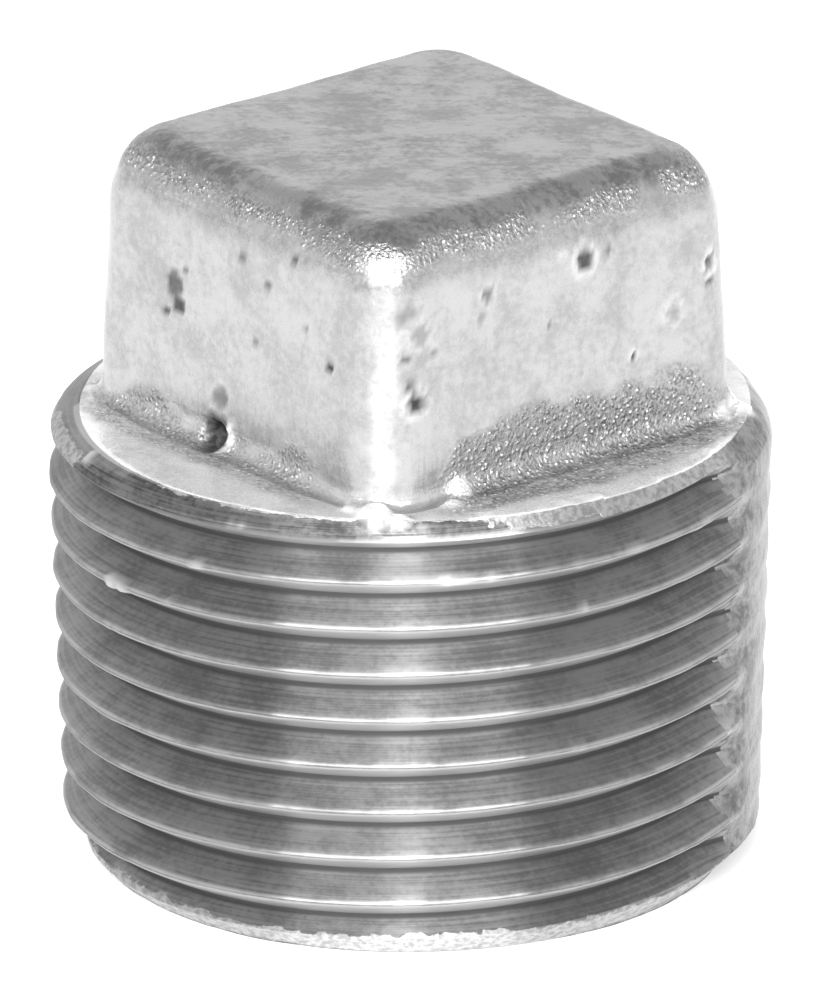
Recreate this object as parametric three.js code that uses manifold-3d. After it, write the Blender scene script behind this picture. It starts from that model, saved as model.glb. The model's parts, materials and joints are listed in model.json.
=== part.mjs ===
// Square-head pipe plug with an external 3/4-14 taper thread, cast in one piece.
// Millimetres, +Z up. The origin is the centre of the open end, on the thread's axis.
// The head's flats face +X, -X, +Y and -Y.
import * as THREE from "three";
import { mergeVertices } from "three/addons/utils/BufferGeometryUtils.js";
import Module from "manifold-3d";

// Taper thread: 14 threads to the inch, 1:16 on diameter, 60 degree form.
const PITCH = 25.4 / 14;
const TAPER = 1 / 32;
const THREAD_DEPTH = 1.3;
const ROOT_WIDTH = 0.14;
const FLANK_ANGLE = THREE.MathUtils.degToRad(30);
const GROOVE_HEIGHT_AT_X = 0.918 * PITCH;

// Threaded body.
const BODY_LENGTH = 17.3;
const CREST_RADIUS_AT_SHOULDER = 13.4;
const RIM_RADIUS = 11.6;
const BEVEL_INSET = 0.9;
const BEVEL_DROP = 1.2;
const BEVEL_MIDDLE_INSET = 0.35;
const BEVEL_MIDDLE_DROP = 0.6;

// The thread is shallow on one narrow strip, where the casting's gate was ground off.
const GATE_ANGLE = THREE.MathUtils.degToRad(45);
const GATE_FLAT_HALF_ANGLE = THREE.MathUtils.degToRad(12);
const GATE_HALF_ANGLE = THREE.MathUtils.degToRad(26);
const GATE_DEPTH_SHARE = 0.06;

// Square head.
const HEAD_HALF_WIDTH = 8.78;
const HEAD_HEIGHT = 10.35;
const HEAD_DRAFT = THREE.MathUtils.degToRad(2);
const HEAD_CORNER_RADIUS = 2.0;
const TOP_ROUND_INSET = 1.9;
const TOP_ROUND_HEIGHT = 3.0;
const BASE_FILLET = 0.4;
const HEAD_SINK = 1.0;

// Core: the blind hollow that opens at the bottom.
const CORE_MOUTH_RADIUS = 7.4;
const CORE_DEPTH = 13.5;
const CORE_DRAFT = THREE.MathUtils.degToRad(3);
const CORE_ROOF_RADIUS = 2.5;
const CORE_OVERRUN = 1.0;

// Fineness of the facets.
const TURN_SEGMENTS = 40;
const CORNER_SEGMENTS = 6;
const ROUND_SEGMENTS = 6;
const FILLET_SEGMENTS = 3;

const wasm = await Module();
wasm.setup();

function crestRadius(z) {
  return CREST_RADIUS_AT_SHOULDER + TAPER * (z - BODY_LENGTH);
}

function solidFrom(geometry) {
  const bare = geometry.clone();
  bare.deleteAttribute("normal");
  bare.deleteAttribute("uv");
  const merged = mergeVertices(bare, 1e-5);
  return new wasm.Manifold(new wasm.Mesh({
    numProp: 3,
    vertProperties: new Float32Array(merged.attributes.position.array),
    triVerts: new Uint32Array(merged.index.array),
  }));
}

function geometryFrom(solid) {
  const mesh = solid.getMesh();
  const geometry = new THREE.BufferGeometry();
  geometry.setAttribute("position", new THREE.BufferAttribute(mesh.vertProperties, 3));
  geometry.setIndex(new THREE.BufferAttribute(mesh.triVerts, 1));
  geometry.computeVertexNormals();
  return geometry;
}

// A solid of revolution about Z from an outline of [radius, height] points, top to bottom or
// bottom to top, that starts and ends on the axis.
function turned(outline) {
  const points = outline.map(([radius, height]) => new THREE.Vector2(radius, height));
  const geometry = new THREE.LatheGeometry(points, TURN_SEGMENTS);
  geometry.rotateX(Math.PI / 2);
  return geometry;
}

// A closed skin through a list of rings of [x, y, z] points, with a flat cap on each end.
// Every ring has the same number of points and runs counterclockwise seen from the last ring.
function lofted(rings) {
  const count = rings[0].length;
  const positions = rings.flat(2);
  const triangles = [];
  for (let level = 0; level < rings.length - 1; level++) {
    for (let i = 0; i < count; i++) {
      const a = level * count + i;
      const b = level * count + (i + 1) % count;
      triangles.push(a, b, b + count, a, b + count, a + count);
    }
  }
  const top = (rings.length - 1) * count;
  for (let i = 1; i < count - 1; i++) {
    triangles.push(0, i + 1, i);
    triangles.push(top, top + i, top + i + 1);
  }
  const geometry = new THREE.BufferGeometry();
  geometry.setAttribute("position", new THREE.Float32BufferAttribute(positions, 3));
  geometry.setIndex(triangles);
  return geometry;
}

// The body before threading: crest cone, end chamfer, and a flat shoulder with a bevelled rim.
function blank() {
  const chamfer = (crestRadius(0) - RIM_RADIUS) / (1 - TAPER);
  return turned([
    [0, 0],
    [RIM_RADIUS, 0],
    [crestRadius(chamfer), chamfer],
    [crestRadius(BODY_LENGTH - BEVEL_DROP), BODY_LENGTH - BEVEL_DROP],
    [CREST_RADIUS_AT_SHOULDER - BEVEL_MIDDLE_INSET, BODY_LENGTH - BEVEL_MIDDLE_DROP],
    [CREST_RADIUS_AT_SHOULDER - BEVEL_INSET, BODY_LENGTH],
    [0, BODY_LENGTH],
  ]);
}

// How deep the groove is at an angle round the axis, as a share of the full depth.
function depthShare(angle) {
  const away = Math.abs(Math.atan2(Math.sin(angle - GATE_ANGLE), Math.cos(angle - GATE_ANGLE)));
  const rise = THREE.MathUtils.smoothstep(away, GATE_FLAT_HALF_ANGLE, GATE_HALF_ANGLE);
  return GATE_DEPTH_SHARE + (1 - GATE_DEPTH_SHARE) * rise;
}

// The helical groove as a solid: a V section that stands proud of the crests by less than
// would let one turn touch the next, and runs past both ends of the body.
function groove() {
  const proud = 0.12;
  const startTurn = -2;
  const endTurn = Math.ceil(BODY_LENGTH / PITCH) + 1;
  const sections = [];
  for (let step = startTurn * TURN_SEGMENTS; step <= endTurn * TURN_SEGMENTS; step++) {
    const angle = (step / TURN_SEGMENTS) * 2 * Math.PI;
    const z = GROOVE_HEIGHT_AT_X + (step / TURN_SEGMENTS) * PITCH;
    const crest = crestRadius(z);
    const depth = THREAD_DEPTH * depthShare(angle);
    const halfRoot = ROOT_WIDTH / 2;
    const halfMouth = halfRoot + (depth + proud) * Math.tan(FLANK_ANGLE);
    const corners = [
      [crest - depth, z - halfRoot],
      [crest + proud, z - halfMouth],
      [crest + proud, z + halfMouth],
      [crest - depth, z + halfRoot],
    ];
    sections.push(corners.map(([r, h]) => [r * Math.cos(angle), r * Math.sin(angle), h]));
  }
  return lofted(sections.reverse());
}

// A square of the given half width with rounded corners, counterclockwise from +X.
function roundedSquare(halfWidth, cornerRadius, z) {
  const ring = [];
  const centre = halfWidth - cornerRadius;
  for (let quarter = 0; quarter < 4; quarter++) {
    const turn = quarter * Math.PI / 2;
    for (let i = 0; i <= CORNER_SEGMENTS; i++) {
      const sweep = (i / CORNER_SEGMENTS) * Math.PI / 2;
      const x = centre + cornerRadius * Math.cos(sweep);
      const y = centre + cornerRadius * Math.sin(sweep);
      ring.push([
        x * Math.cos(turn) - y * Math.sin(turn),
        x * Math.sin(turn) + y * Math.cos(turn),
        z,
      ]);
    }
  }
  return ring;
}

// The head: a fillet at its foot, drafted flats, and a soft round over the top edge.
function head() {
  const widthAt = (height) => HEAD_HALF_WIDTH - height * Math.tan(HEAD_DRAFT);
  const foot = HEAD_HALF_WIDTH + BASE_FILLET;
  const rings = [roundedSquare(foot, HEAD_CORNER_RADIUS + BASE_FILLET, BODY_LENGTH - HEAD_SINK)];
  for (let i = 0; i <= FILLET_SEGMENTS; i++) {
    const sweep = (i / FILLET_SEGMENTS) * Math.PI / 2;
    const height = BASE_FILLET * (1 - Math.cos(sweep));
    const flare = BASE_FILLET * (1 - Math.sin(sweep));
    const width = widthAt(height) + flare;
    rings.push(roundedSquare(width, HEAD_CORNER_RADIUS + flare, BODY_LENGTH + height));
  }
  const springing = HEAD_HEIGHT - TOP_ROUND_HEIGHT;
  for (let i = 0; i <= ROUND_SEGMENTS; i++) {
    const sweep = (i / ROUND_SEGMENTS) * Math.PI / 2;
    const inset = TOP_ROUND_INSET * (1 - Math.cos(sweep));
    const height = springing + TOP_ROUND_HEIGHT * Math.sin(sweep);
    const corner = HEAD_CORNER_RADIUS - inset / 2;
    rings.push(roundedSquare(widthAt(springing) - inset, corner, BODY_LENGTH + height));
  }
  return lofted(rings);
}

// The hollow: a drafted bore with a rounded roof, run past the open end.
function core() {
  const radiusAt = (z) => CORE_MOUTH_RADIUS - z * Math.tan(CORE_DRAFT);
  const spring = CORE_DEPTH - CORE_ROOF_RADIUS;
  const outline = [[0, -CORE_OVERRUN], [radiusAt(-CORE_OVERRUN), -CORE_OVERRUN]];
  for (let i = 0; i <= ROUND_SEGMENTS; i++) {
    const sweep = (i / ROUND_SEGMENTS) * Math.PI / 2;
    const radius = radiusAt(spring) - CORE_ROOF_RADIUS * (1 - Math.cos(sweep));
    outline.push([radius, spring + CORE_ROOF_RADIUS * Math.sin(sweep)]);
  }
  outline.push([0, CORE_DEPTH]);
  return turned(outline);
}

function plugBody() {
  const threaded = solidFrom(blank()).subtract(solidFrom(groove()));
  const solid = threaded.add(solidFrom(head())).subtract(solidFrom(core()));
  const galvanised = new THREE.MeshStandardMaterial({
    color: 0xb9bbba,
    roughness: 0.5,
    metalness: 0.85,
  });
  const mesh = new THREE.Mesh(geometryFrom(solid), galvanised);
  mesh.name = "plug_body";
  return mesh;
}

const group = new THREE.Group();
group.add(plugBody());

export default group;
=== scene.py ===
import itertools
import json
import math

import bpy
import numpy as np
from mathutils import Matrix, Vector


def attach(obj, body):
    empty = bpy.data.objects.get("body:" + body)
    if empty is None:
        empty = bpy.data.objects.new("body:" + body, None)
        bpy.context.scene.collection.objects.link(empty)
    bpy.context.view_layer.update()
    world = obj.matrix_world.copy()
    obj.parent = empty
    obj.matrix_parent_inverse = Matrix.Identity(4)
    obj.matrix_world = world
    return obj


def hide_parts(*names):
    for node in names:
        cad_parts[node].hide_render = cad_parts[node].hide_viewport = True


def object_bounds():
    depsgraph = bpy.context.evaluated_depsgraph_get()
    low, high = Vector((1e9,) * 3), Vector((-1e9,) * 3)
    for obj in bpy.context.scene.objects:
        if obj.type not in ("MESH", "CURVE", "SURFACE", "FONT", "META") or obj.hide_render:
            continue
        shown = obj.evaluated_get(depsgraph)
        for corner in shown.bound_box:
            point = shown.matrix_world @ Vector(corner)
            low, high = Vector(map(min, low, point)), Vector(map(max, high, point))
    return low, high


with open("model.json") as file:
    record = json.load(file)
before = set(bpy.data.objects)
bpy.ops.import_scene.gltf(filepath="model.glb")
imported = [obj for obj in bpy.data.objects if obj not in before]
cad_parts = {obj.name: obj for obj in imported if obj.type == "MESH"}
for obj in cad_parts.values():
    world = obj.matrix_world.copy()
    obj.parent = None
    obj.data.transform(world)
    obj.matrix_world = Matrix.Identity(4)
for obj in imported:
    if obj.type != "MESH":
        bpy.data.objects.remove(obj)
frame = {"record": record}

MM = 0.001
CAD_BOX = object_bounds()
MOUNTS = {mount["name"]: mount for mount in frame["record"]["mounts"]}

# Driving dimensions, in millimetres and degrees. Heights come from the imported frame.
TOP_Z = CAD_BOX[1].z / MM
SHOULDER_Z = MOUNTS["shoulder_face"]["pos_m"][2] / MM

# Taper thread. CREST_PHASE is the height of the first crest on +X, in pitches.
PITCH = 25.4 / 14
TAPER = 1 / 32
FLANK_SLOPE = math.tan(math.radians(30))
CREST_RADIUS = 13.4
THREAD_DEPTH = 1.3
ROOT_WIDTH = 0.14
CREST_WIDTH = PITCH - ROOT_WIDTH - 2 * THREAD_DEPTH * FLANK_SLOPE
CREST_PHASE = 0.418
RIM_RADIUS = 11.6

# Bevel round the shoulder, in two slopes.
BEVEL_INSET = 0.9
BEVEL_DROP = 1.2
BEVEL_MIDDLE_INSET = 0.35
BEVEL_MIDDLE_DROP = 0.6

# Square head, cast a little off the thread's axis.
HEAD_HALF_WIDTH = 8.78
HEAD_DRAFT = math.tan(math.radians(2))
HEAD_CORNER = 2.0
HEAD_OFFSET = (0.12, 0.15)
TOP_INSET = 1.9
TOP_DROP = 3.0
FOOT_AT_FLAT = 0.7
FOOT_AT_CORNER = 0.4

# Cored hollow, open at the bottom.
CORE_MOUTH = 7.4
CORE_DRAFT = math.tan(math.radians(3))
CORE_DEPTH = 13.5
CORE_ROUND = 2.5

# Strip where the gate was, with only a shallow thread.
GATE_ANGLE = 45
GATE_FLAT_HALF_ANGLE = 12
GATE_HALF_ANGLE = 26
GATE_DEPTH_SHARE = 0.06

# Mesh: columns round the axis, how far helical rows stop short of both ends, the least
# angle that shades sharp, and tolerances.
COLUMNS = 360
SKIN_EDGE = 0.06
SHARP_ANGLE = 50
ON_SURFACE = 0.02
ROUNDING = 1e-9

# Relief and patterns. A flaw lower than DEEP_HOLE is a hole with no dross in it.
FRONT_CORNER = -45
CORNER_HIGHLIGHT_HALF_ANGLE = 2.6
DEEP_HOLE = -0.2
TOP_STREAK_TURN = -51.2
LINES_PER_PITCH = 30.0
LINES_FLANK_SHIFT = 7.0
PER_MM = 1000

# Camera, aimed from far off at a point near the axis. The floor's size is in metres.
CAMERA_AZIMUTH = 51.2
CAMERA_ELEVATION = 20.8
CAMERA_ROLL = 0.27
CAMERA_DISTANCE = 900
CAMERA_TARGET_Z = 15.08
CAMERA_TARGET_SHIFT = (0.03, -1.65)
VIEW_HEIGHT = 36.85
SENSOR_WIDTH = 36
FLOOR_HALF_SIDE = 6.0


# ---------------------------------------------------------------- noise


def hashed(ix, iy, iz, seed):
    """One pseudo-random number from 0 to 1 for each lattice point."""
    h = ix * 374761393 + iy * 668265263 + iz * 1274126177 + seed * 974711
    h = (h ^ (h >> 13)) * 1103515245 & 0x7FFFFFFF
    h = (h ^ (h >> 16)) * 12345701 & 0x7FFFFFFF
    return (h ^ (h >> 11)) / 0x7FFFFFFF


def value_noise(points, size, seed):
    """Smooth noise from -1 to 1 whose blobs are about size millimetres across."""
    scaled = points / size
    cell = np.floor(scaled).astype(np.int64)
    part = scaled - cell
    ease = part * part * (3 - 2 * part)
    total = np.zeros(len(points))
    for corner in range(8):
        step = np.array([corner & 1, corner >> 1 & 1, corner >> 2])
        weight = np.prod(np.where(step == 1, ease, 1 - ease), axis=1)
        ix, iy, iz = (cell + step + 10000).T
        total += weight * hashed(ix, iy, iz, seed)
    return 2 * total - 1


def rough_noise(points, size, seed, octaves=3):
    """Noise from about -2 to 2, with each octave half the size and half the height."""
    total = np.zeros(len(points))
    for octave in range(octaves):
        total += value_noise(points, size / 2**octave, seed + octave) / 2**octave
    return total


def cell_distance(points, size, seed):
    """Distance to the nearest of many scattered centres, about 1 when size away from it."""
    scaled = points / size
    cell = np.floor(scaled).astype(np.int64)
    nearest = np.full(len(points), 9.0)
    for step in itertools.product((-1, 0, 1), repeat=3):
        ix, iy, iz = (cell + step + 10000).T
        centre = [hashed(ix, iy, iz, seed + axis) for axis in range(3)]
        away = cell + step + np.stack(centre, axis=-1) - scaled
        nearest = np.minimum(nearest, np.linalg.norm(away, axis=1))
    return nearest


def smooth(low, high, x):
    """0 below low, 1 above high, and an even curve between them."""
    t = np.clip((x - low) / (high - low), 0, 1)
    return t * t * (3 - 2 * t)


# ---------------------------------------------------------------- outline

theta = np.arange(COLUMNS) * 2 * math.pi / COLUMNS


def turn_from(angle_deg):
    """How far each column is from an angle, in degrees, from 0 to 180."""
    away = np.degrees(theta) - angle_deg
    return np.abs((away + 180) % 360 - 180)


def square_radius(half_width, corner):
    """Polar radius of a rounded square at every column."""
    folded = np.abs((theta + math.pi / 4) % (math.pi / 2) - math.pi / 4)
    centre = half_width - corner
    flat = half_width / np.cos(folded)
    along = centre * (np.cos(folded) + np.sin(folded))
    round_part = along + np.sqrt(np.maximum(along**2 - 2 * centre**2 + corner**2, 0))
    return np.where(half_width * np.tan(folded) <= centre, flat, round_part)


cornerness = smooth(24, 38, np.abs((np.degrees(theta) + 45) % 90 - 45))
foot_fillet = FOOT_AT_FLAT + (FOOT_AT_CORNER - FOOT_AT_FLAT) * cornerness
gate = 1 - smooth(GATE_FLAT_HALF_ANGLE, GATE_HALF_ANGLE, turn_from(GATE_ANGLE))
thread_share = 1 - (1 - GATE_DEPTH_SHARE) * gate


def crest_radius(z):
    """Radius of the taper cone that the thread's crests lie on."""
    return CREST_RADIUS + TAPER * (z - SHOULDER_Z)


def groove_depth(phase):
    """Depth of the thread groove at a phase of the pitch, 0 at a crest and 0.5 at a root."""
    away = np.abs((phase + 0.5) % 1 - 0.5) * PITCH
    slope = (away - CREST_WIDTH / 2) / FLANK_SLOPE
    return np.clip(slope, 0, THREAD_DEPTH)


def bevel_radius(z):
    """Outline of the shoulder's bevelled rim; just the crest cone below the bevel."""
    heights = (SHOULDER_Z - BEVEL_DROP, SHOULDER_Z - BEVEL_MIDDLE_DROP, SHOULDER_Z)
    insets = (BEVEL_DROP * TAPER, BEVEL_MIDDLE_INSET, BEVEL_INSET)
    inset = np.interp(z, heights, insets)
    return np.where(z < heights[0], crest_radius(z), CREST_RADIUS - inset)


def thread_radius(z):
    """Radius of the threaded body at height z, one value for each column."""
    phase = z / PITCH - CREST_PHASE - theta / (2 * math.pi)
    threaded = crest_radius(z) - groove_depth(phase) * thread_share
    return np.minimum(threaded, np.minimum(RIM_RADIUS + z, bevel_radius(z)))


thread_edge = thread_radius(SHOULDER_Z - SKIN_EDGE)
foot_radius = square_radius(HEAD_HALF_WIDTH + foot_fillet, HEAD_CORNER + foot_fillet)


# ---------------------------------------------------------------- rings and threads

CAVITY, BOTTOM, THREAD, SHOULDER, FOOT, SIDE, TOP_EDGE, TOP = range(8)


class Skin:
    """Rows of points, each with a radius, a height, a share of the head's offset and a zone.

    The helical rows also have a phase, from 0 at a crest to 0.5 in a root and on to 1.
    """

    def __init__(self):
        self.radius = []
        self.height = []
        self.shift = []
        self.zone = []
        self.phase = []

    def ring(self, radius, height, zone, shift=0.0):
        self.radius.append(np.broadcast_to(radius, COLUMNS))
        self.height.append(np.broadcast_to(height, COLUMNS))
        self.shift.append(np.broadcast_to(shift, COLUMNS))
        self.zone.append(zone)


def cavity_rings(skin):
    """The cored hollow, from the middle of its roof down to its mouth."""
    spring = CORE_DEPTH - CORE_ROUND
    wall = CORE_MOUTH - spring * CORE_DRAFT
    for share in (0.02, 0.3, 0.6, 0.85):
        skin.ring((wall - CORE_ROUND) * share, CORE_DEPTH, CAVITY)
    for sweep in np.linspace(90, 0, 9):
        bend = math.radians(sweep)
        radius = wall - CORE_ROUND * (1 - math.cos(bend))
        skin.ring(radius, spring + CORE_ROUND * math.sin(bend), CAVITY)
    for z in np.linspace(spring, 0.5, 12)[1:]:
        skin.ring(CORE_MOUTH - z * CORE_DRAFT, z, CAVITY)


def bottom_rings(skin):
    """The flat end face, from the mouth of the hollow out to the chamfer."""
    edge = thread_radius(SKIN_EDGE)
    skin.ring(CORE_MOUTH + 0.06, 0.22, BOTTOM)
    skin.ring(CORE_MOUTH + 0.2, 0.06, BOTTOM)
    for share in (0.1, 0.28, 0.46, 0.64, 0.82, 0.93):
        skin.ring(CORE_MOUTH + (edge - CORE_MOUTH) * share, 0, BOTTOM)
    skin.ring(edge - 0.08, 0, BOTTOM)
    skin.ring(edge - 0.02, 0.02, BOTTOM)


def shoulder_rings(skin):
    """The flat shoulder, from its rim in to the foot of the head."""
    rim = thread_edge - 0.07
    skin.ring(thread_edge - 0.02, SHOULDER_Z - 0.02, SHOULDER)
    skin.ring(rim, SHOULDER_Z, SHOULDER)
    for share in np.linspace(0, 1, 16)[1:-1]:
        skin.ring(rim + (foot_radius - rim) * share, SHOULDER_Z, SHOULDER, share)


def foot_rings(skin):
    """The fillet between the shoulder and the head's sides."""
    for sweep in np.linspace(0, 90, 6):
        bend = math.radians(sweep)
        rise = foot_fillet * (1 - math.cos(bend))
        flare = foot_fillet * (1 - math.sin(bend))
        width = HEAD_HALF_WIDTH - rise * HEAD_DRAFT + flare
        skin.ring(square_radius(width, HEAD_CORNER + flare), SHOULDER_Z + rise, FOOT, 1)


def side_rings(skin, springing):
    """The head's drafted sides, up to where the top edge starts to round."""
    for share in np.linspace(0, 1, 26)[1:]:
        rise = foot_fillet + (springing - foot_fillet) * share
        width = HEAD_HALF_WIDTH - rise * HEAD_DRAFT
        skin.ring(square_radius(width, HEAD_CORNER), SHOULDER_Z + rise, SIDE, 1)


def top_rings(skin, springing):
    """The rounded top edge and the flat top, in to its middle."""
    width = HEAD_HALF_WIDTH - springing * HEAD_DRAFT
    for sweep in np.linspace(0, 90, 14)[1:]:
        bend = math.radians(sweep)
        inset = TOP_INSET * (1 - math.cos(bend))
        outline = square_radius(width - inset, HEAD_CORNER - inset / 2)
        height = SHOULDER_Z + springing + TOP_DROP * math.sin(bend)
        skin.ring(outline, height, TOP_EDGE, 1)
    for share in np.linspace(1, 0.02, 26)[1:]:
        skin.ring(outline * share, TOP_Z, TOP, 1)


def thread_steps():
    """Phases within one pitch, 0 at a crest's middle, closest together at the edges."""
    crest = CREST_WIDTH / 2 / PITCH
    root = ROOT_WIDTH / 2 / PITCH
    start, end = crest, 0.5 - root
    flank = end - start
    upper = [start - 0.018, start + 0.014, start + 0.3 * flank, start + 0.6 * flank]
    upper += [end - 0.02, end + 0.02]
    lower = [1 - phase for phase in reversed(upper)]
    return np.array([0.0, *upper, 0.5, *lower])


STEPS = thread_steps()
PER_TURN = len(STEPS)


def thread_rows():
    """Phase of every helical row, from below the bottom edge to above the shoulder."""
    turns = np.arange(-2, math.ceil(SHOULDER_Z / PITCH) + 1)
    return (turns[:, None] + STEPS[None, :]).ravel()


def build_skin():
    """All rows, and the numbers of the first helical row and of the first row above them."""
    skin = Skin()
    cavity_rings(skin)
    bottom_rings(skin)
    below = len(skin.zone)
    rows = thread_rows()
    for phase in rows:
        z = PITCH * (phase + CREST_PHASE + theta / (2 * math.pi))
        z = np.clip(z, SKIN_EDGE, SHOULDER_Z - SKIN_EDGE)
        skin.ring(thread_radius(z), z, THREAD)
        skin.phase.append(phase % 1)
    above = len(skin.zone)
    shoulder_rings(skin)
    springing = TOP_Z - SHOULDER_Z - TOP_DROP
    foot_rings(skin)
    side_rings(skin, springing)
    top_rings(skin, springing)
    return skin, below, above


def point_names(skin, below, above):
    """The point at each place of the grid. Helical rows share one where they are clipped."""
    height = np.array(skin.height)[below:above]
    name = np.arange(len(skin.zone) * COLUMNS).reshape(-1, COLUMNS)
    low = height <= SKIN_EDGE + ROUNDING
    high = height >= SHOULDER_Z - SKIN_EDGE - ROUNDING
    name[below:above] = np.where(low, name[below], name[below:above])
    name[below:above] = np.where(high, name[above - 1], name[below:above])
    return name


def skin_faces(skin, below, above):
    """Quads and triangles, as index lists. Helical rows step up one turn at the seam."""
    name = point_names(skin, below, above)
    faces, zones = [], []
    for row, column in itertools.product(range(len(name) - 1), range(COLUMNS)):
        threaded = below <= row < above - 1
        at_seam = column + 1 == COLUMNS
        beyond = 0 if at_seam else column + 1
        level = row + PER_TURN if at_seam and threaded else row
        if at_seam and threaded and level + 1 > above - 1:
            continue
        face = [
            name[row, column],
            name[level, beyond],
            name[level + 1, beyond],
            name[row + 1, column],
        ]
        unique = list(dict.fromkeys(face))
        if len(unique) > 2:
            faces.append([int(v) for v in unique])
            zones.append(THREAD if threaded else skin.zone[row + 1])
    return faces, zones


# ---------------------------------------------------------------- surface relief


# Casting flaws and stray drops of zinc: place in millimetres, radius, height (a hole is
# negative), height of the lip round it, how much painted shade lies in it and how much painted
# highlight on it.
FLAWS = (
    ((-3.2, -8.5, 22.9), 0.5, -0.06, 0.0, 0.75, 0.0),
    ((-2.9, -8.5, 22.1), 0.4, -0.07, 0.0, 0.9, 0.0),
    ((-3.7, -8.5, 21.7), 0.22, -0.05, 0.0, 0.9, 0.0),
    ((-2.6, -8.5, 23.6), 0.22, -0.03, 0.0, 0.6, 0.0),
    ((5.8, -8.6, 22.2), 0.32, -0.14, 0.0, 1.0, 0.0),
    ((5.5, -8.6, 23.1), 0.14, -0.05, 0.0, 0.6, 0.0),
    ((0.7, -8.5, 25.0), 0.3, -0.04, 0.0, 0.6, 0.0),
    ((2.2, -8.5, 24.3), 0.26, -0.05, 0.0, 0.7, 0.0),
    ((4.4, -8.5, 23.2), 0.2, -0.04, 0.0, 0.5, 0.0),
    ((3.6, -8.4, 25.7), 0.24, -0.06, 0.0, 0.9, 0.0),
    ((1.6, -8.5, 22.0), 0.18, -0.04, 0.0, 0.5, 0.0),
    ((-0.74, -8.8, 17.78), 0.62, -0.8, 0.0, 1.0, 0.0),
    ((-1.05, -8.8, 18.0), 0.3, -0.3, 0.0, 1.0, 0.0),
    ((0.2, -8.66, 18.25), 0.22, 0.12, 0.0, 0.0, 0.9),
    ((0.26, -8.8, 17.85), 0.26, 0.18, 0.0, 0.0, 1.0),
    ((0.1, -9.1, 17.5), 0.24, 0.14, 0.0, 0.0, 0.9),
    ((-0.46, -8.6, 19.2), 0.5, -0.08, 0.02, 0.45, 0.0),
    ((8.5, -6.9, 24.6), 0.5, -0.06, 0.01, 0.45, 0.0),
    ((8.5, -6.4, 23.8), 0.5, -0.05, 0.03, 0.35, 0.0),
    ((8.5, -5.9, 23.0), 0.34, -0.05, 0.02, 0.4, 0.0),
    ((8.6, -7.1, 22.9), 0.2, -0.05, 0.0, 0.7, 0.0),
    ((8.6, -6.9, 21.9), 0.32, -0.1, 0.0, 0.8, 0.0),
    ((8.6, -6.7, 21.2), 0.4, -0.11, 0.04, 0.95, 0.0),
    ((8.6, -2.9, 25.2), 0.18, -0.05, 0.0, 0.8, 0.0),
    ((8.6, -3.3, 24.6), 0.3, -0.05, 0.03, 0.6, 0.0),
    ((8.6, -3.6, 23.8), 0.28, -0.04, 0.0, 0.35, 0.0),
    ((8.4, 1.3, 24.9), 0.5, -0.09, 0.04, 0.9, 0.0),
    ((8.4, 0.3, 25.2), 0.22, -0.08, 0.03, 1.0, 0.0),
    ((8.4, 2.4, 25.1), 0.34, -0.06, 0.0, 0.8, 0.0),
    ((8.6, -0.4, 22.9), 0.16, -0.05, 0.0, 0.8, 0.0),
    ((8.7, 3.5, 20.7), 0.18, -0.1, 0.04, 1.0, 0.0),
    ((8.6, 5.4, 21.9), 0.4, -0.03, 0.03, 0.3, 0.0),
    ((8.5, 7.1, 23.4), 0.34, -0.12, 0.05, 0.9, 0.0),
    ((8.5, 7.15, 22.7), 0.22, -0.1, 0.0, 0.9, 0.0),
    ((8.65, -8.6, 17.35), 0.7, 0.45, 0.0, 0.0, 1.0),
    ((9.5, -8.1, 17.3), 0.36, 0.2, 0.0, 0.0, 0.9),
    ((7.6, -8.9, 17.4), 0.4, 0.2, 0.0, 0.0, 0.8),
    ((9.1, -4.9, 17.6), 0.42, 0.25, 0.0, 0.0, 0.9),
    ((9.5, -5.7, 17.4), 0.4, 0.2, 0.0, 0.0, 0.8),
    ((7.45, -7.35, 26.1), 0.5, 0.08, 0.0, 0.0, 1.0),
    ((8.6, 8.5, 17.6), 0.7, 0.42, 0.0, 0.0, 1.0),
    ((9.0, 7.6, 17.5), 0.4, 0.15, 0.0, 0.0, 0.8),
    ((-8.4, 8.3, 17.6), 0.6, 0.15, 0.0, 0.0, 0.8),
    ((-8.3, -8.3, 17.6), 0.5, 0.1, 0.0, 0.0, 0.5),
    ((-8.5, 2.6, 22.4), 0.4, -0.1, 0.04, 0.8, 0.0),
    ((-8.6, -3.1, 20.4), 0.3, -0.08, 0.0, 0.8, 0.0),
    ((-2.4, 8.5, 23.6), 0.45, -0.08, 0.03, 0.8, 0.0),
    ((4.1, 8.6, 20.9), 0.28, -0.1, 0.03, 0.9, 0.0),
    ((-3.4, -12.3, 17.0), 0.32, 0.1, 0.0, 0.0, 1.0),
    ((-12.1, 4.2, 14.6), 0.2, 0.1, 0.0, 0.0, 0.8),
)

# Torn metal along the crests: middle angle, which crest counted up from the end face,
# half length in degrees, and height in millimetres.
CREST_BURRS = (
    (-12, 8, 6, 0.09),
    (2, 8, 6, 0.07),
    (11, 8, 6, 0.09),
    (-93.5, 7, 3, 0.1),
    (-68, 9, 1.5, 0.06),
    (-30, 8, 5, 0.03),
    (-75, 8, 1.2, 0.09),
    (-81, 7, 1.0, 0.05),
    (-94.5, 6, 1.5, 0.07),
    (-58.7, 4, 1.0, 0.06),
    (-10.5, 7, 1.0, 0.05),
    (-11.5, 4, 2.0, 0.06),
    (150, 8, 12, 0.06),
    (-160, 6, 5, 0.08),
)

# Torn zinc along the shoulder's rim: middle angle, half length and height.
RIM_BURRS = ((-10, 9, 0.12), (14, 14, 0.09), (-30, 8, 0.05), (120, 20, 0.08))


def stretch(angle, half_length):
    """1 in the middle of a stretch round the axis, falling to 0 past its ends."""
    return 1 - smooth(half_length * 0.7, half_length * 1.2, turn_from(angle))


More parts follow.
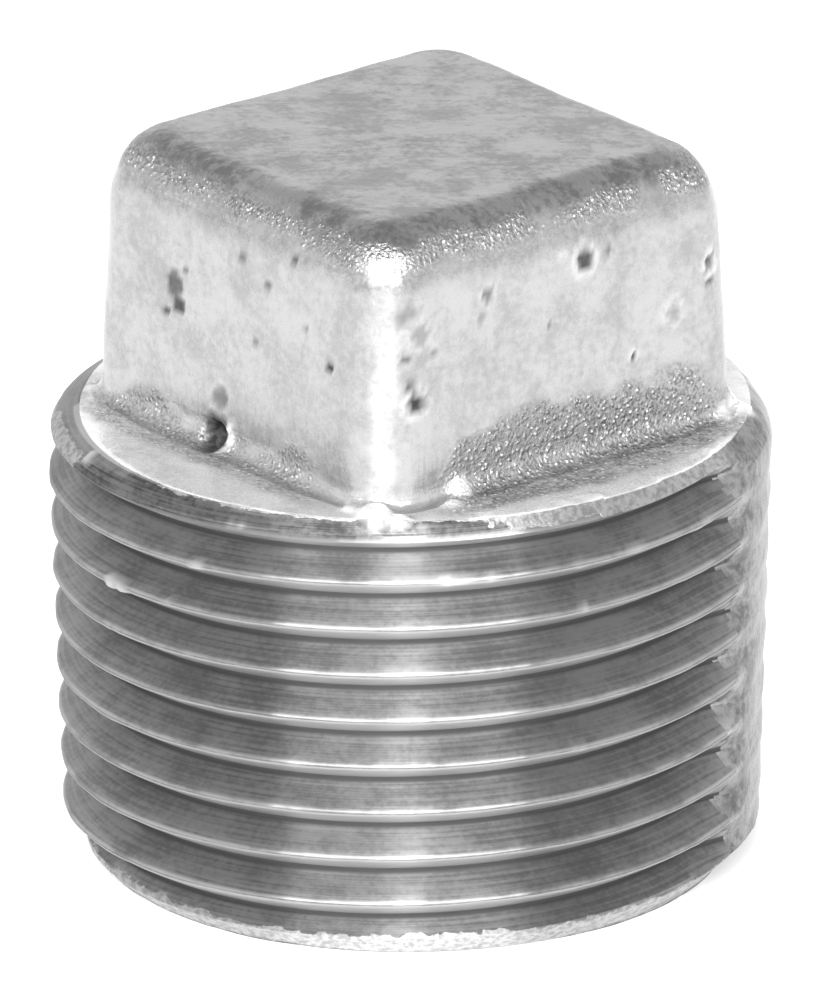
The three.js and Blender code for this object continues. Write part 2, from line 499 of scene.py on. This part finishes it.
def vertex_normals(points, faces):
    """Outward directions at the points, weighted by the size of the faces round each."""
    corners = np.array([f if len(f) == 4 else [*f, f[2]] for f in faces])
    a, b, c, d = (points[corners[:, i]] for i in range(4))
    face_normal = np.cross(c - a, d - b)
    total = np.zeros_like(points)
    for i in range(4):
        np.add.at(total, corners[:, i], face_normal)
    length = np.linalg.norm(total, axis=1)
    return total / np.maximum(length, 1e-12)[:, None]


class Surface:
    """The points of the casting's outline, with what the relief needs to know of each."""

    def __init__(self, points, zone, phase):
        count = (len(points) - 2) // COLUMNS
        self.points = points
        self.zone = zone
        self.column = np.append(np.tile(np.arange(COLUMNS), count), [0, 0])
        self.angle = (np.degrees(theta)[self.column] + 180) % 360 - 180
        self.radius = np.hypot(points[:, 0], points[:, 1])
        self.z = points[:, 2]
        self.from_crest = np.abs((phase + 0.5) % 1 - 0.5)
        self.flank = np.where(phase > 0.5, -1.0, 1.0)
        self.crest_number = np.round(self.z / PITCH - CREST_PHASE - self.angle / 360)
        self.height = np.zeros(len(points))
        self.masks = {name: np.zeros(len(points)) for name in ("dross", "pit", "bright")}

    def noise(self, size, seed):
        return value_noise(self.points, size, seed)

    def show(self, name, values):
        self.masks[name] = np.clip(np.maximum(self.masks[name], values), 0, 1)


def cast_skin(s):
    """The zinc's long waves and fine grain."""
    grain = 0.010 * rough_noise(s.points, 0.55, 7)
    waves = 0.045 * s.noise(3.4, 3) + 0.02 * s.noise(1.3, 5)
    s.height += np.where(s.zone == THREAD, 0, waves + grain)
    s.height += np.where(s.zone == TOP_EDGE, 0.02 * s.noise(0.9, 6), 0)
    # The top mask picks where the zinc is painted darker as painted shade. The shoulder mask
    # picks where it is painted lighter as painted light, fully on the shoulder and partly on
    # the foot, and it also lowers the metallic value there.
    s.masks["top"] = smooth(TOP_Z - 1.3, TOP_Z - 0.5, s.z + 0.3 * s.noise(0.9, 9))
    s.masks["shoulder"] = np.select([s.zone == SHOULDER, s.zone == FOOT], [1.0, 0.35])


def foot_dross(s, ragged):
    """Dross at the foot of the head: high on the +X flat, lower on the -Y flat."""
    right = smooth(-37, -29, s.angle) * (1 - smooth(34, 50, s.angle))
    left = smooth(-146, -136, s.angle) * (1 - smooth(-66, -50, s.angle))
    reach = 0.35 + 1.7 * right + 0.6 * left
    band = 1 - smooth(-0.25, 0.25, s.z - SHOULDER_Z - reach - ragged * 0.9)
    outward = np.where(s.zone == SHOULDER, s.radius - foot_radius[s.column], 0)
    band *= 1 - smooth(0.5, 1.2, outward + ragged * 0.5 - 0.9 * right)
    at_foot = np.isin(s.zone, (SHOULDER, FOOT, SIDE))
    return np.where(at_foot, band * (0.12 + 0.88 * np.maximum(right, 0.75 * left)), 0)


def edge_dross(s, ragged):
    """Dross in a broken band under the head's top edges."""
    drop = TOP_Z - s.z + ragged * 0.5
    band = smooth(0.35, 0.65, drop) * (1 - smooth(1.1, 1.6, drop))
    band *= smooth(-0.75, -0.1, s.noise(1.6, 13))
    return np.where(np.isin(s.zone, (TOP_EDGE, SIDE)), band, 0)


def dross_bands(s):
    """Gritty dross, with grains of two sizes standing out of it."""
    ragged = 0.6 * s.noise(2.2, 11) + 0.4 * s.noise(0.8, 12)
    s.show("dross", foot_dross(s, ragged) + edge_dross(s, ragged))
    gritty = s.masks["dross"] > 0.02
    for size, rise, seed in ((0.5, 0.014, 21), (0.3, 0.014, 25)):
        near = cell_distance(s.points[gritty], size, seed)
        dome = np.sqrt(np.clip(1 - (near / 0.6) ** 2, 0, 1))
        s.height[gritty] += rise * s.masks["dross"][gritty] * dome


def flaws(s):
    """Holes, lips and drops where FLAWS puts them, each with a ragged outline."""
    for place, size, rise, lip, dark, painted_highlight in FLAWS:
        near = np.linalg.norm(s.points - np.array(place), axis=1) / size
        near *= 1 + 0.25 * s.noise(size * 1.4, 31) + 0.12 * s.noise(size * 0.5, 32)
        ring = np.exp(-(((near - 1.15) / 0.28) ** 2))
        s.height += rise * np.exp(-1.6 * near**4) + lip * ring
        deep = rise < DEEP_HOLE
        reach = 1.3 if deep else 1.05
        # Painted shade inside each hole and dent.
        s.show("pit", dark * (1 - smooth(reach - 0.4, reach, near)))
        if deep:
            s.masks["dross"] *= 1 - 2 * min(-rise, 0.5) * (near < 1)
        # Painted highlight on each drop of zinc and on the lip round each dent.
        s.show("bright", painted_highlight * (1 - smooth(0.7, 1.25, near)))
        s.show("bright", min(lip * 8, 1) * ring)


def corner_ridge_highlight(s):
    """A low ridge down the front corner of the head, with a painted highlight along it."""
    centre = FRONT_CORNER + 0.8 * s.noise(2.5, 35)
    near = np.abs(s.angle - centre) / CORNER_HIGHLIGHT_HALF_ANGLE
    run = 1 - smooth(0.4, 1.4, near + 0.3 * s.noise(0.7, 36))
    run *= np.isin(s.zone, (SIDE, TOP_EDGE))
    run *= 1 - smooth(TOP_Z - 1.5, TOP_Z - 1.1, s.z)
    # Painted highlight along the front corner.
    s.show("bright", run * (0.35 + 0.3 * s.noise(1.1, 37)))
    s.height += 0.03 * run


def lumps(s):
    """Uneven torn metal, from 0 to 1.5."""
    return np.clip(0.4 + 0.8 * s.noise(0.36, 41) + 0.6 * s.noise(1.1, 42), 0, 1.5)


def torn_rim(s):
    """Bright zinc torn up along the shoulder's rim."""
    torn = lumps(s)
    to_edge = thread_edge[s.column] - s.radius + 0.25 * s.noise(0.8, 43)
    rim = np.where(s.zone == SHOULDER, 1 - smooth(0.25, 0.8, to_edge), 0)
    for middle, half_length, rise in RIM_BURRS:
        share = stretch(middle, half_length)[s.column] * rim
        s.height += share * rise * torn
        s.show("bright", share * (0.3 + 0.7 * torn))
    s.show("bright", rim * 0.25 * np.clip(torn - 0.2, 0, 1))


def worn_crests(s):
    """Thread crests, blunted unevenly, with a burr here and there."""
    torn = lumps(s)
    crest = np.where(s.zone == THREAD, 1 - smooth(0.04, 0.16, s.from_crest), 0)
    blunted = np.clip(s.noise(1.8, 51) + 0.3, 0, 1)
    s.height += crest * (0.012 * s.noise(0.5, 52) - 0.03 * blunted)
    for middle, number, half_length, rise in CREST_BURRS:
        share = stretch(middle, half_length)[s.column] * crest
        share = np.where(s.crest_number == number, share, 0)
        s.height += share * rise * torn
        s.show("bright", share * torn)


def gate_strip(s):
    """The gate strip keeps its lumpy cast face, with a ragged border."""
    s.masks["gate"] = np.where(s.zone == THREAD, gate[s.column], 0)
    lumpy = 0.025 * s.noise(0.7, 61) + 0.015 * s.noise(0.35, 62)
    s.height += s.masks["gate"] * lumpy
    s.masks["cast"] = s.masks["gate"] > 0.5 + 0.3 * s.noise(0.6, 65)


def kept_zinc(s):
    """Zinc that the cutter left on the end chamfer and on the shoulder's bevel."""
    threaded = s.zone == THREAD
    below_chamfer = RIM_RADIUS + s.z - s.radius
    on_chamfer = 1.6 + 0.2 * s.noise(2.6, 63) - 0.95 * s.z - 1.5 * below_chamfer
    on_chamfer = np.where(threaded, np.maximum(on_chamfer, 0), 0)

    bevel = threaded & (np.abs(s.radius - bevel_radius(s.z)) < ON_SURFACE)
    bevel &= s.z > SHOULDER_Z - BEVEL_DROP
    deep = smooth(-30, -14, s.angle) * (1 - smooth(60, 80, s.angle))
    on_bevel = 1 - (SHOULDER_Z - s.z) / (0.2 + 1.7 * deep)
    on_bevel = np.maximum(on_bevel, 1.4 * (1 - smooth(-120, -98, s.angle)))
    s.masks["kept"] = np.clip(on_chamfer + np.where(bevel, on_bevel, 0), 0, 1)
    s.masks["worn"] = np.where(bevel, 1 - 0.3 * smooth(-34, -12, s.angle), 0)


RELIEF = (
    cast_skin,
    dross_bands,
    flaws,
    corner_ridge_highlight,
    torn_rim,
    worn_crests,
    gate_strip,
    kept_zinc,
)


def make_casting():
    """Points and faces of the whole outline, with the zone of each and each point's phase."""
    skin, below, above = build_skin()
    faces, face_zones = skin_faces(skin, below, above)
    rows = len(skin.zone)
    radius = np.array(skin.radius)
    shift = np.array(skin.shift)
    x = radius * np.cos(theta) + shift * HEAD_OFFSET[0]
    y = radius * np.sin(theta) + shift * HEAD_OFFSET[1]
    points = np.stack([x, y, np.array(skin.height)], axis=-1).reshape(-1, 3)

    bottom_pole, top_pole = len(points), len(points) + 1
    points = np.vstack([points, [0, 0, CORE_DEPTH], [*HEAD_OFFSET, TOP_Z]])
    last = (rows - 1) * COLUMNS
    for column in range(COLUMNS):
        beyond = (column + 1) % COLUMNS
        faces.append([bottom_pole, beyond, column])
        faces.append([top_pole, last + column, last + beyond])
        face_zones += [CAVITY, TOP]

    zone = np.append(np.repeat(skin.zone, COLUMNS), [CAVITY, TOP])
    row_phase = np.full(rows, 0.5)
    row_phase[below:above] = skin.phase
    phase = np.append(np.repeat(row_phase, COLUMNS), [0.5, 0.5])
    return points, faces, np.array(face_zones), zone, phase


def casting_mesh(points, faces, masks, cut):
    """A Blender mesh of the points in use, with the masks and a second material where cut."""
    used = np.unique(np.concatenate([np.array(face) for face in faces]))
    new_name = np.full(len(points), -1)
    new_name[used] = np.arange(len(used))
    corners = [new_name[face].tolist() for face in faces]
    mesh = bpy.data.meshes.new("plug_casting")
    mesh.from_pydata((points[used] * MM).tolist(), [], corners)
    for name, values in masks.items():
        layer = mesh.attributes.new(name, "FLOAT", "POINT")
        layer.data.foreach_set("value", values[used].astype(np.float32))
    mesh.polygons.foreach_set("material_index", cut.astype(np.int32))
    mesh.polygons.foreach_set("use_smooth", np.ones(len(faces), dtype=bool))
    mesh.update()
    mesh.set_sharp_from_angle(angle=math.radians(SHARP_ANGLE))
    return mesh


def casting_object():
    """The plug: outline, relief, masks and mesh."""
    points, faces, face_zones, zone, phase = make_casting()
    surface = Surface(points, zone, phase)
    for shape in RELIEF:
        shape(surface)
    points = points + vertex_normals(points, faces) * surface.height[:, None]
    points[:, 2] = np.maximum(points[:, 2], 0)
    masks = surface.masks
    masks["from_crest"] = surface.from_crest
    masks["flank"] = surface.flank

    cast = masks["cast"][[face[0] for face in faces]]
    cut = (face_zones == THREAD) & ~cast
    casting = bpy.data.objects.new("plug_casting", casting_mesh(points, faces, masks, cut))
    bpy.context.scene.collection.objects.link(casting)
    return casting


# ---------------------------------------------------------------- materials


def principled(name):
    """A new material with one Principled shader."""
    material = bpy.data.materials.new(name)
    material.use_nodes = True
    nodes = material.node_tree.nodes
    nodes.clear()
    shader = nodes.new("ShaderNodeBsdfPrincipled")
    output = nodes.new("ShaderNodeOutputMaterial")
    material.node_tree.links.new(shader.outputs["BSDF"], output.inputs["Surface"])
    return material, shader


class Graph:
    """Short calls that add a node and return its output socket."""

    def __init__(self, material):
        self.nodes = material.node_tree.nodes
        self.links = material.node_tree.links

    def set(self, socket, value):
        """Link an output to a socket, or give the socket a constant."""
        if isinstance(value, bpy.types.NodeSocket):
            self.links.new(value, socket)
        else:
            socket.default_value = value

    def position(self, scale, turn=0.0):
        """Object coordinates turned about Z by some degrees, then scaled along each axis."""
        coordinates = self.nodes.new("ShaderNodeTexCoord")
        turned = self.nodes.new("ShaderNodeVectorRotate")
        turned.rotation_type = "Z_AXIS"
        self.links.new(coordinates.outputs["Object"], turned.inputs["Vector"])
        turned.inputs["Angle"].default_value = math.radians(turn)
        scaled = self.nodes.new("ShaderNodeVectorMath")
        scaled.operation = "MULTIPLY"
        self.links.new(turned.outputs["Vector"], scaled.inputs[0])
        scaled.inputs[1].default_value = scale
        return scaled.outputs["Vector"]

    def noise(self, vector, scale=1.0, detail=4.0, roughness=0.55, distortion=0.0):
        node = self.nodes.new("ShaderNodeTexNoise")
        self.links.new(vector, node.inputs["Vector"])
        node.inputs["Scale"].default_value = scale
        node.inputs["Detail"].default_value = detail
        node.inputs["Roughness"].default_value = roughness
        node.inputs["Distortion"].default_value = distortion
        return node.outputs["Fac"]

    def math(self, operation, a, b=0.0):
        node = self.nodes.new("ShaderNodeMath")
        node.operation = operation
        self.set(node.inputs[0], a)
        self.set(node.inputs[1], b)
        return node.outputs[0]

    def weighted(self, *parts):
        """The sum of several values, each given with its weight."""
        products = [self.math("MULTIPLY", value, weight) for value, weight in parts]
        total = products[0]
        for product in products[1:]:
            total = self.math("ADD", total, product)
        return total

    def spread(self, value, low, high, to_low=0.0, to_high=1.0):
        """to_low where the value is below low, to_high above high, smooth between them."""
        node = self.nodes.new("ShaderNodeMapRange")
        node.interpolation_type = "SMOOTHSTEP"
        self.set(node.inputs["Value"], value)
        node.inputs["From Min"].default_value = low
        node.inputs["From Max"].default_value = high
        node.inputs["To Min"].default_value = to_low
        node.inputs["To Max"].default_value = to_high
        return node.outputs["Result"]

    def cells(self, vector, scale):
        """Distance to the nearest cell centre, and a random number for that cell."""
        node = self.nodes.new("ShaderNodeTexVoronoi")
        self.links.new(vector, node.inputs["Vector"])
        node.inputs["Scale"].default_value = scale
        parts = self.nodes.new("ShaderNodeSeparateXYZ")
        self.links.new(node.outputs["Color"], parts.inputs[0])
        return node.outputs["Distance"], parts.outputs["X"]

    def mask(self, name):
        """A value kept on the mesh's points."""
        node = self.nodes.new("ShaderNodeAttribute")
        node.attribute_name = name
        return node.outputs["Fac"]

    def mix(self, factor, a, b):
        """A colour mixed from a to b."""
        node = self.nodes.new("ShaderNodeMix")
        node.data_type = "RGBA"
        self.set(node.inputs["Factor"], factor)
        self.set(node.inputs["A"], a)
        self.set(node.inputs["B"], b)
        return node.outputs["Result"]

    def greys(self, value, low, high, dark, light):
        """A dark grey where the value is below low, a light one above high."""
        return self.mix(self.spread(value, low, high), grey(dark), grey(light))

    def blend(self, factor, a, b):
        """A plain number mixed from a to b."""
        node = self.nodes.new("ShaderNodeMix")
        self.set(node.inputs["Factor"], factor)
        self.set(node.inputs["A"], a)
        self.set(node.inputs["B"], b)
        return node.outputs["Result"]

    def bump(self, height, distance, strength=1.0, normal=None):
        node = self.nodes.new("ShaderNodeBump")
        node.inputs["Distance"].default_value = distance
        node.inputs["Strength"].default_value = strength
        self.links.new(height, node.inputs["Height"])
        if normal is not None:
            self.links.new(normal, node.inputs["Normal"])
        return node.outputs["Normal"]


def grey(value):
    return (value, value, value, 1)


def zinc_mottle(g):
    """The patterns in the zinc: clouds, speckle, grit, downward runs and streaks."""
    place = g.position((PER_MM, PER_MM, PER_MM))
    downward = g.position((1.7 * PER_MM, 1.7 * PER_MM, 0.4 * PER_MM))
    streaked = g.position((0.28 * PER_MM, 1.3 * PER_MM, PER_MM), TOP_STREAK_TURN)
    clouds = g.noise(place, 0.5, 5, 0.6, 0.2)
    speckle = g.noise(place, 3.4, 4, 0.62)
    grit = g.noise(place, 8.0, 3, 0.6)
    runs = g.noise(downward, 1.0, 2, 0.5, 0.8)
    streaks = g.noise(streaked, 1.0, 6, 0.66, 0.9)
    return place, clouds, speckle, grit, runs, streaks


def zinc_colour(g, clouds, speckle, runs, streaks):
    """Clean zinc, light on the head's sides, with painted light on the shoulder, made
    lightest, and painted shade on the top, made darker.
    """
    tone = g.weighted((clouds, 0.55), (speckle, 0.38), (runs, 0.07))
    colour = g.greys(tone, 0.36, 0.6, 0.35, 0.48)
    # Painted light: the shoulder and foot get a lighter copy of the same zinc.
    shoulder = g.greys(tone, 0.38, 0.56, 0.6, 0.74)
    colour = g.mix(g.mask("shoulder"), colour, shoulder)
    # Painted shade: the top gets a darker copy of the same zinc, with its own streaks.
    top_tone = g.weighted((streaks, 0.25), (clouds, 0.45), (speckle, 0.3))
    return g.mix(g.mask("top"), colour, g.greys(top_tone, 0.42, 0.56, 0.22, 0.38))


def dross_colour(g, grit, cell, chance):
    """Gritty dark dross, with a painted glint at the top of some of its grains."""
    dull = g.greys(grit, 0.36, 0.64, 0.18, 0.42)
    # Painted glint: near white at the middle of some grains, where the bump domes peak.
    glint_spot = g.math("LESS_THAN", cell, 0.24)
    chosen = g.math("GREATER_THAN", chance, 0.72)
    return g.mix(g.math("MULTIPLY", glint_spot, chosen), dull, grey(0.95))


def zinc_material():
    """Hot-dip zinc: mottled light grey, dull where dross lies, bright where torn, with painted
    highlights down the front corner and on drops and lips.
    """
    material, shader = principled("galvanised_skin")
    g = Graph(material)
    place, clouds, speckle, grit, runs, streaks = zinc_mottle(g)
    cell, chance = g.cells(place, 4.6)
    dross, pit = g.mask("dross"), g.mask("pit")

    colour = zinc_colour(g, clouds, speckle, runs, streaks)
    patches = g.weighted((speckle, 0.5), (clouds, 0.5))
    dull = dross_colour(g, grit, cell, chance)
    dross_share = g.math("MULTIPLY", dross, g.spread(patches, 0.38, 0.56, 0.15, 1.0))
    colour = g.mix(dross_share, colour, dull)
    colour = g.mix(g.mask("gate"), colour, g.greys(patches, 0.38, 0.6, 0.1, 0.26))
    # Painted shade: holes and dents are painted nearly black inside.
    pit_shade = g.math("MULTIPLY", pit, g.spread(speckle, 0.3, 0.6, 0.85, 1.0))
    colour = g.mix(pit_shade, colour, grey(0.05))
    # The bright mask is torn zinc along the rim and crests, and painted highlight down the
    # front corner and on drops and lips.
    bright = g.math("MULTIPLY", g.mask("bright"), g.spread(speckle, 0.3, 0.5, 0.55, 1.0))
    colour = g.mix(bright, colour, grey(0.95))
    g.set(shader.inputs["Base Color"], colour)

    rough = g.spread(speckle, 0.3, 0.7, 0.23, 0.3)
    for share, level in ((dross, 0.36), (bright, 0.25), (pit, 0.8)):
        rough = g.blend(share, rough, level)
    g.set(shader.inputs["Roughness"], rough)
    g.set(shader.inputs["Metallic"], g.spread(g.mask("shoulder"), 0, 1, 1.0, 0.7))

    normal = g.bump(runs, 0.00008, 0.3)
    normal = g.bump(speckle, 0.00003, 0.1, normal)
    bubbles = g.math("MULTIPLY", g.spread(cell, 0.1, 0.55, 1.0, 0.0), dross)
    normal = g.bump(bubbles, 0.00003, 1.0, normal)
    normal = g.bump(g.math("MULTIPLY", grit, dross), 0.00006, 0.9, normal)
    g.set(shader.inputs["Normal"], normal)
    return material


def tool_lines(g, place, from_crest, flank):
    """Fine lines that follow the thread round the axis."""
    axes = g.nodes.new("ShaderNodeSeparateXYZ")
    g.links.new(place, axes.inputs[0])
    level = g.math("MULTIPLY", from_crest, LINES_PER_PITCH)
    level = g.math("ADD", level, g.math("MULTIPLY", flank, LINES_FLANK_SHIFT))
    level = g.math("ADD", level, g.math("MULTIPLY", axes.outputs["Z"], 0.3))
    along = g.nodes.new("ShaderNodeCombineXYZ")
    g.set(along.inputs["X"], g.math("MULTIPLY", axes.outputs["X"], 0.22))
    g.set(along.inputs["Y"], g.math("MULTIPLY", axes.outputs["Y"], 0.22))
    g.set(along.inputs["Z"], level)
    return g.noise(along.outputs[0], 1.0, 1.5, 0.5)


def cut_colour(g, tone, clouds, from_crest, flank, root):
    """Bare iron, with painted light: the upper flank painted darker than the lower one,
    painted shade in the root and a painted highlight on the crest's edges.
    """
    upper = g.greys(tone, 0.36, 0.62, 0.155, 0.29)
    # Painted light: the lower flank gets a lighter copy of the same iron than the upper flank.
    colour = g.mix(g.spread(flank, -0.2, 0.2), grey(0.44), upper)
    # Painted shade in the root.
    colour = g.mix(root, colour, grey(0.14))
    # Painted highlight along the crest's edges, strongest on the upper flank's side.
    off_edge = g.math("SUBTRACT", from_crest, CREST_WIDTH / 2 / PITCH)
    off_edge = g.math("ABSOLUTE", off_edge)
    edge_highlight = g.spread(off_edge, 0.012, 0.04, 1.0, 0.0)
    edge = g.math("MULTIPLY", edge_highlight, g.spread(flank, -0.5, 0.5, 0.25, 1.0))
    edge = g.math("MULTIPLY", edge, g.spread(clouds, 0.36, 0.6, 0.3, 1.0))
    return g.mix(edge, colour, grey(0.42))


def cut_material():
    """Threads cut through the zinc: dull iron with fine tool lines, painted highlights on the
    crest edges and painted shade in the roots.
    """
    material, shader = principled("cut_thread")
    g = Graph(material)
    place = g.position((PER_MM, PER_MM, PER_MM))
    clouds = g.noise(place, 0.45, 4, 0.6)
    speckle = g.noise(place, 4.0, 3, 0.6)
    ragged = g.noise(place, 1.3, 3, 0.6)
    from_crest, flank, bright = g.mask("from_crest"), g.mask("flank"), g.mask("bright")
    lines = tool_lines(g, place, from_crest, flank)
    # The root mask carries painted shade in the colour and a higher roughness.
    root = g.spread(from_crest, 0.41, 0.465)
    kept = g.math("ADD", g.mask("kept"), g.spread(ragged, 0.3, 0.7, -0.25, 0.25))
    kept = g.spread(kept, 0.46, 0.6)

    tone = g.weighted((clouds, 0.4), (speckle, 0.26), (lines, 0.34))
    colour = cut_colour(g, tone, clouds, from_crest, flank, root)
    colour = g.mix(g.mask("worn"), colour, g.greys(tone, 0.4, 0.58, 0.07, 0.2))
    colour = g.mix(kept, colour, g.greys(speckle, 0.35, 0.6, 0.38, 0.6))
    # Bright where the crests are torn, and painted highlight on stray drops.
    colour = g.mix(bright, colour, grey(0.6))
    g.set(shader.inputs["Base Color"], colour)

    rough = g.spread(clouds, 0.3, 0.7, 0.31, 0.34)
    for share, level in ((root, 0.6), (kept, 0.5), (bright, 0.4)):
        rough = g.blend(share, rough, level)
    g.set(shader.inputs["Roughness"], rough)
    shader.inputs["Metallic"].default_value = 0.95
    shader.inputs["Specular Tint"].default_value = grey(0.7)

    shader.inputs["Anisotropic"].default_value = 1.0
    shader.inputs["Anisotropic Rotation"].default_value = 0.25
    tangent = g.nodes.new("ShaderNodeTangent")
    tangent.direction_type = "RADIAL"
    tangent.axis = "Z"
    g.set(shader.inputs["Tangent"], tangent.outputs[0])
    normal = g.bump(lines, 0.00001, 0.7)
    normal = g.bump(g.math("MULTIPLY", speckle, kept), 0.00004, 0.8, normal)
    g.set(shader.inputs["Normal"], normal)
    return material


def floor_material():
    """Plain pale paper, with a little light of its own so that it stays even."""
    material, shader = principled("studio_floor")
    g = Graph(material)
    mottle = g.noise(g.position((30, 30, 30)), 1.0, 3)
    g.set(shader.inputs["Base Color"], g.mix(mottle, grey(0.68), grey(0.72)))
    shader.inputs["Roughness"].default_value = 0.9
    shader.inputs["Emission Color"].default_value = (1, 1, 1, 1)
    shader.inputs["Emission Strength"].default_value = 0.35
    return material


# ---------------------------------------------------------------- studio

# Brightness of the surroundings: sine of the height above the horizon, and level.
SKY_LEVELS = (
    (0.0, 1.0),
    (0.14, 1.0),
    (0.34, 1.35),
    (0.46, 1.2),
    (0.56, 1.0),
    (0.68, 0.75),
    (1.0, 0.6),
)

# Soft lights, all in front: name, degrees to the camera's right, degrees above the
# horizon, distance in metres, width and height in metres, and radiance.
PANELS = (
    ("key", -5, 33, 1.2, (1.75, 0.6), 8.0),
    ("strip_left", -11.4, 38, 1.1, (0.02, 0.6), 30),
    ("strip_middle", -4.8, 38, 1.1, (0.02, 0.6), 48),
    ("strip_right", 1.4, 38, 1.1, (0.016, 0.6), 52),
)


def direction(azimuth, elevation):
    """A unit vector, with azimuth in degrees from -Y towards +X."""
    a, e = math.radians(azimuth), math.radians(elevation)
    return Vector((math.sin(a) * math.cos(e), -math.cos(a) * math.cos(e), math.sin(e)))


def camera_axes():
    """The camera's right, up and back before it is rolled."""
    azimuth = math.radians(CAMERA_AZIMUTH)
    right = Vector((math.cos(azimuth), math.sin(azimuth), 0))
    back = direction(CAMERA_AZIMUTH, CAMERA_ELEVATION)
    return right, back.cross(right), back


def add_camera():
    """A long lens far away, looking a little down at the head's front corner."""
    right, up, back = camera_axes()
    target = Vector((0, 0, CAMERA_TARGET_Z))
    target += right * CAMERA_TARGET_SHIFT[0] + up * CAMERA_TARGET_SHIFT[1]
    roll = math.radians(CAMERA_ROLL)
    rolled_right = right * math.cos(roll) - up * math.sin(roll)
    rolled_up = right * math.sin(roll) + up * math.cos(roll)
    data = bpy.data.cameras.new("camera")
    data.sensor_width = SENSOR_WIDTH
    data.lens = CAMERA_DISTANCE * SENSOR_WIDTH / VIEW_HEIGHT
    data.clip_start = 0.01
    data.clip_end = 20
    camera = bpy.data.objects.new("camera", data)
    turn = Matrix((rolled_right, rolled_up, back)).transposed().to_4x4()
    camera.matrix_world = Matrix.Translation((target + back * CAMERA_DISTANCE) * MM) @ turn
    bpy.context.scene.collection.objects.link(camera)
    bpy.context.scene.camera = camera


def add_panel(name, off_camera, elevation, distance, size, radiance):
    """A flat light aimed at the plug, turned off_camera degrees to the camera's right."""
    data = bpy.data.lights.new(name, "AREA")
    data.shape = "RECTANGLE"
    data.size, data.size_y = size
    data.energy = radiance * math.pi * size[0] * size[1]
    light = bpy.data.objects.new(name, data)
    back = direction(CAMERA_AZIMUTH + off_camera, elevation)
    light.location = back * distance + Vector((0, 0, SHOULDER_Z * MM))
    light.rotation_mode = "QUATERNION"
    light.rotation_quaternion = (-back).to_track_quat("-Z", "Y")
    bpy.context.scene.collection.objects.link(light)


def add_world():
    """Bright near the horizon and dimmer overhead, like a white sweep under a dark ceiling."""
    world = bpy.data.worlds.new("studio")
    world.use_nodes = True
    nodes, links = world.node_tree.nodes, world.node_tree.links
    coordinates = nodes.new("ShaderNodeTexCoord")
    parts = nodes.new("ShaderNodeSeparateXYZ")
    links.new(coordinates.outputs["Generated"], parts.inputs[0])
    ramp = nodes.new("ShaderNodeValToRGB")
    links.new(parts.outputs["Z"], ramp.inputs["Fac"])
    while len(ramp.color_ramp.elements) < len(SKY_LEVELS):
        ramp.color_ramp.elements.new(0.5)
    for element, (place, level) in zip(ramp.color_ramp.elements, SKY_LEVELS):
        element.position = place
        element.color = grey(level)
    links.new(ramp.outputs["Color"], nodes["Background"].inputs["Color"])
    bpy.context.scene.world = world


def add_floor():
    mesh = bpy.data.meshes.new("floor")
    quarters = ((-1, -1), (1, -1), (1, 1), (-1, 1))
    corners = [(x * FLOOR_HALF_SIDE, y * FLOOR_HALF_SIDE, 0) for x, y in quarters]
    mesh.from_pydata(corners, [], [(0, 1, 2, 3)])
    floor = bpy.data.objects.new("floor", mesh)
    mesh.materials.append(floor_material())
    bpy.context.scene.collection.objects.link(floor)


add_camera()
add_world()
add_floor()
for panel in PANELS:
    add_panel(*panel)
bpy.context.scene.view_settings.view_transform = "Standard"

casting = casting_object()
casting.data.materials.append(zinc_material())
casting.data.materials.append(cut_material())
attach(casting, "root")
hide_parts("plug_body")
